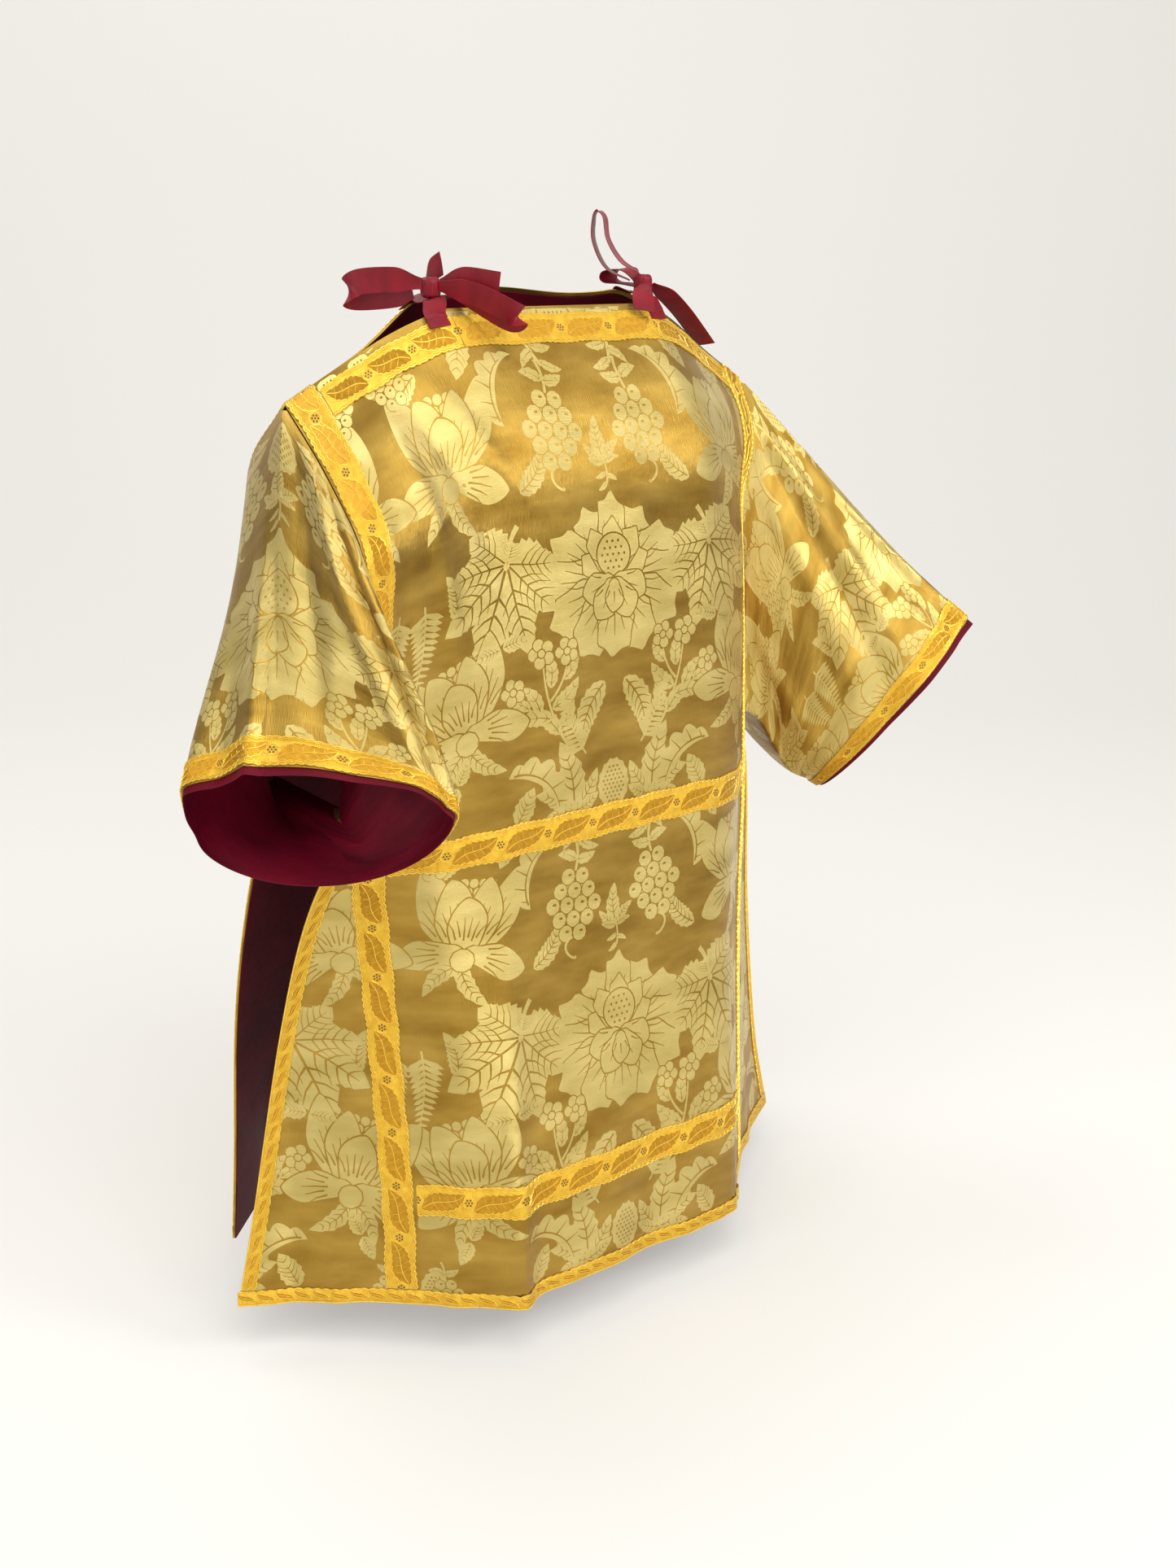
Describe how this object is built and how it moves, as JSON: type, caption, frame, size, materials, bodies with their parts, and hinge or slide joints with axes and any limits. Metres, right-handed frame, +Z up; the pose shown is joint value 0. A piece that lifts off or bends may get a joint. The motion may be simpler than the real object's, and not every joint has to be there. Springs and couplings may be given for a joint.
{
  "type": "dalmatic vestment",
  "caption": "Lined damask vestment with open sides, wide closed sleeves, braid bands and ribbon-tied shoulder slits, kept in its worn shape.",
  "frame": {"origin": "middle of the neck opening at the height of the front neckline, where the wearer's neck and shoulders hold the garment", "axes": "+Z up, the wearer faces -Y, the wearer's right is at -X"},
  "size_m": [1.0374, 0.5757, 1.1834],
  "materials": {
    "damask_gold": "satin",
    "lining_crimson": "satin",
    "braid_wide": "satin",
    "braid_narrow": "satin",
    "ribbon_crimson": "satin"
  },
  "bodies": {
    "root": {"back_panel": "damask_gold", "band_low_back": "braid_wide", "band_low_front": "braid_wide", "band_mid_back": "braid_wide", "band_mid_front": "braid_wide", "bow_left_knot": "ribbon_crimson", "bow_left_loop_back": "ribbon_crimson", "bow_left_loop_up": "ribbon_crimson", "bow_left_tail_front": "ribbon_crimson", "bow_left_tail_out": "ribbon_crimson", "bow_left_tie": "ribbon_crimson", "bow_right_knot": "ribbon_crimson", "bow_right_loop_front": "ribbon_crimson", "bow_right_loop_out": "ribbon_crimson", "bow_right_tail_back": "ribbon_crimson", "bow_right_tail_front": "ribbon_crimson", "bow_right_tie": "ribbon_crimson", "braid_hem_back": "braid_narrow", "braid_hem_front": "braid_narrow", "braid_neck_back": "braid_wide", "braid_neck_front": "braid_wide", "braid_side_back_left": "braid_narrow", "braid_side_back_right": "braid_narrow", "braid_side_front_left": "braid_narrow", "braid_side_front_right": "braid_narrow", "braid_sleeve_left": "braid_wide", "braid_sleeve_right": "braid_wide", "braid_slit_back_left": "braid_wide", "braid_slit_back_right": "braid_wide", "braid_slit_front_left": "braid_wide", "braid_slit_front_right": "braid_wide", "clavus_left": "braid_wide", "clavus_right": "braid_wide", "front_panel": "damask_gold", "lining_back": "lining_crimson", "lining_front": "lining_crimson", "lining_sleeve_left": "lining_crimson", "lining_sleeve_right": "lining_crimson", "sleeve_left": "damask_gold", "sleeve_right": "damask_gold"}
  },
  "joints": []
}
